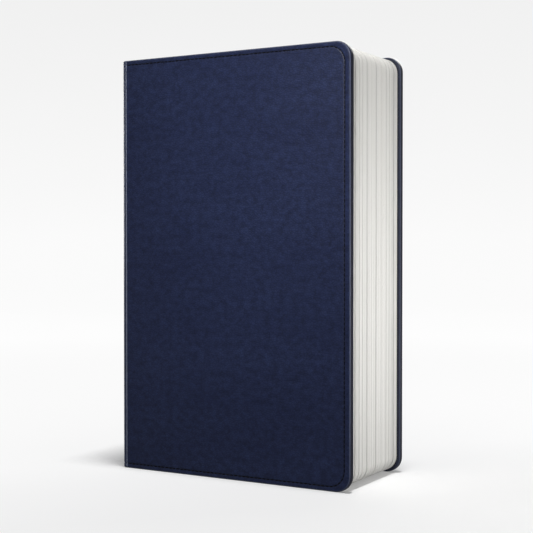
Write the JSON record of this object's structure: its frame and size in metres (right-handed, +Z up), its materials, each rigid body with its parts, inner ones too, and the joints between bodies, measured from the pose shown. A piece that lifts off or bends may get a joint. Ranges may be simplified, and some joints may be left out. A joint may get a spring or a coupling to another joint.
{
  "type": "logbook",
  "caption": "Thick upright logbook: a sewn paper block in a flexible leather-grain cover with rounded, edge-stitched corners. The covers open and the pages fan out with them.",
  "frame": {"origin": "middle of the closed book's footprint, on the surface it stands on", "axes": "+Z up along the book's height, +X from the spine to the fore-edge, -Y towards the front cover and +Y towards the back cover"},
  "size_m": [0.135, 0.0628, 0.216],
  "materials": {
    "cover_leather": "navy fine-grained imitation leather, satin",
    "cover_thread": "near-black navy polyester thread",
    "cover_board": "grey-brown bookbinding board",
    "spine_card": "flexible spine card",
    "kraft_paper": "brown kraft paper",
    "mull_gauze": "open-weave starched cotton",
    "linen_thread": "waxed linen thread",
    "end_band_cloth": "striped woven band",
    "endpaper": "cream endpaper, matt",
    "page_paper": "white uncoated page paper, matt"
  },
  "bodies": {
    "spine_and_sewing": {"spine_skin": "cover_leather", "spine_stiffener": "spine_card", "spine_lining": "kraft_paper", "spine_mull": "mull_gauze", "sewing_thread": "linen_thread", "headband": "end_band_cloth", "tailband": "end_band_cloth", "sewn_section_folds": "page_paper", "endpaper_hinge_strips": "endpaper"},
    "front_cover": {"front_cover_skin": "cover_leather", "front_board": "cover_board", "front_edge_stitching": "cover_thread", "front_mull_flange": "mull_gauze", "front_pastedown": "endpaper"},
    "front_flyleaf": {"front_flyleaf": "endpaper"},
    "back_cover": {"back_cover_skin": "cover_leather", "back_board": "cover_board", "back_edge_stitching": "cover_thread", "back_mull_flange": "mull_gauze", "back_pastedown": "endpaper"},
    "back_flyleaf": {"back_flyleaf": "endpaper"},
    "section_01": {"section_01": "page_paper"},
    "section_02": {"section_02": "page_paper"},
    "section_03": {"section_03": "page_paper"},
    "section_04": {"section_04": "page_paper"},
    "section_05": {"section_05": "page_paper"},
    "section_06": {"section_06": "page_paper"},
    "section_07": {"section_07": "page_paper"},
    "section_08": {"section_08": "page_paper"},
    "section_09": {"section_09": "page_paper"},
    "section_10": {"section_10": "page_paper"},
    "section_11": {"section_11": "page_paper"},
    "section_12": {"section_12": "page_paper"},
    "section_13": {"section_13": "page_paper"},
    "section_14": {"section_14": "page_paper"},
    "section_15": {"section_15": "page_paper"},
    "section_16": {"section_16": "page_paper"}
  },
  "joints": [
    {"name": "front_cover_hinge", "type": "hinge", "parent": "spine_and_sewing", "child": "front_cover", "pos_m": [-0.06445, -0.03145, 0.108], "axis": [0, 0, -1], "range_deg": [0, 180]},
    {"name": "front_flyleaf_turn", "type": "hinge", "parent": "spine_and_sewing", "child": "front_flyleaf", "pos_m": [-0.05905, -0.0277, 0.108], "axis": [0, 0, -1], "range_deg": [0, 99]},
    {"name": "back_cover_hinge", "type": "hinge", "parent": "spine_and_sewing", "child": "back_cover", "pos_m": [-0.06445, 0.03145, 0.108], "axis": [0, 0, 1], "range_deg": [0, 180]},
    {"name": "back_flyleaf_turn", "type": "hinge", "parent": "spine_and_sewing", "child": "back_flyleaf", "pos_m": [-0.05905, 0.0277, 0.108], "axis": [0, 0, 1], "range_deg": [0, 99]},
    {"name": "section_01_turn", "type": "hinge", "parent": "spine_and_sewing", "child": "section_01", "pos_m": [-0.05855, -0.02732, 0.108], "axis": [0, 0, -1], "range_deg": [0, 88.2]},
    {"name": "section_02_turn", "type": "hinge", "parent": "spine_and_sewing", "child": "section_02", "pos_m": [-0.05585, -0.02391, 0.108], "axis": [0, 0, -1], "range_deg": [0, 77.4]},
    {"name": "section_03_turn", "type": "hinge", "parent": "spine_and_sewing", "child": "section_03", "pos_m": [-0.05365, -0.02049, 0.108], "axis": [0, 0, -1], "range_deg": [0, 66.6]},
    {"name": "section_04_turn", "type": "hinge", "parent": "spine_and_sewing", "child": "section_04", "pos_m": [-0.05195, -0.01707, 0.108], "axis": [0, 0, -1], "range_deg": [0, 55.8]},
    {"name": "section_05_turn", "type": "hinge", "parent": "spine_and_sewing", "child": "section_05", "pos_m": [-0.05055, -0.01365, 0.108], "axis": [0, 0, -1], "range_deg": [0, 45]},
    {"name": "section_06_turn", "type": "hinge", "parent": "spine_and_sewing", "child": "section_06", "pos_m": [-0.04955, -0.01023, 0.108], "axis": [0, 0, -1], "range_deg": [0, 34.2]},
    {"name": "section_07_turn", "type": "hinge", "parent": "spine_and_sewing", "child": "section_07", "pos_m": [-0.04895, -0.00681, 0.108], "axis": [0, 0, -1], "range_deg": [0, 23.4]},
    {"name": "section_08_turn", "type": "hinge", "parent": "spine_and_sewing", "child": "section_08", "pos_m": [-0.04865, -0.00339, 0.108], "axis": [0, 0, -1], "range_deg": [0, 10.8]},
    {"name": "section_09_turn", "type": "hinge", "parent": "spine_and_sewing", "child": "section_09", "pos_m": [-0.04865, 0.00339, 0.108], "axis": [0, 0, 1], "range_deg": [0, 10.8]},
    {"name": "section_10_turn", "type": "hinge", "parent": "spine_and_sewing", "child": "section_10", "pos_m": [-0.04895, 0.00681, 0.108], "axis": [0, 0, 1], "range_deg": [0, 23.4]},
    {"name": "section_11_turn", "type": "hinge", "parent": "spine_and_sewing", "child": "section_11", "pos_m": [-0.04955, 0.01023, 0.108], "axis": [0, 0, 1], "range_deg": [0, 34.2]},
    {"name": "section_12_turn", "type": "hinge", "parent": "spine_and_sewing", "child": "section_12", "pos_m": [-0.05055, 0.01365, 0.108], "axis": [0, 0, 1], "range_deg": [0, 45]},
    {"name": "section_13_turn", "type": "hinge", "parent": "spine_and_sewing", "child": "section_13", "pos_m": [-0.05195, 0.01707, 0.108], "axis": [0, 0, 1], "range_deg": [0, 55.8]},
    {"name": "section_14_turn", "type": "hinge", "parent": "spine_and_sewing", "child": "section_14", "pos_m": [-0.05365, 0.02049, 0.108], "axis": [0, 0, 1], "range_deg": [0, 66.6]},
    {"name": "section_15_turn", "type": "hinge", "parent": "spine_and_sewing", "child": "section_15", "pos_m": [-0.05585, 0.02391, 0.108], "axis": [0, 0, 1], "range_deg": [0, 77.4]},
    {"name": "section_16_turn", "type": "hinge", "parent": "spine_and_sewing", "child": "section_16", "pos_m": [-0.05855, 0.02732, 0.108], "axis": [0, 0, 1], "range_deg": [0, 88.2]}
  ],
  "couplings": [
    {"joint": "front_flyleaf_turn", "follows": "front_cover_hinge", "ratio": 0.55},
    {"joint": "back_flyleaf_turn", "follows": "back_cover_hinge", "ratio": 0.55},
    {"joint": "section_01_turn", "follows": "front_cover_hinge", "ratio": 0.49},
    {"joint": "section_02_turn", "follows": "front_cover_hinge", "ratio": 0.43},
    {"joint": "section_03_turn", "follows": "front_cover_hinge", "ratio": 0.37},
    {"joint": "section_04_turn", "follows": "front_cover_hinge", "ratio": 0.31},
    {"joint": "section_05_turn", "follows": "front_cover_hinge", "ratio": 0.25},
    {"joint": "section_06_turn", "follows": "front_cover_hinge", "ratio": 0.19},
    {"joint": "section_07_turn", "follows": "front_cover_hinge", "ratio": 0.13},
    {"joint": "section_08_turn", "follows": "front_cover_hinge", "ratio": 0.06},
    {"joint": "section_09_turn", "follows": "back_cover_hinge", "ratio": 0.06},
    {"joint": "section_10_turn", "follows": "back_cover_hinge", "ratio": 0.13},
    {"joint": "section_11_turn", "follows": "back_cover_hinge", "ratio": 0.19},
    {"joint": "section_12_turn", "follows": "back_cover_hinge", "ratio": 0.25},
    {"joint": "section_13_turn", "follows": "back_cover_hinge", "ratio": 0.31},
    {"joint": "section_14_turn", "follows": "back_cover_hinge", "ratio": 0.37},
    {"joint": "section_15_turn", "follows": "back_cover_hinge", "ratio": 0.43},
    {"joint": "section_16_turn", "follows": "back_cover_hinge", "ratio": 0.49}
  ]
}
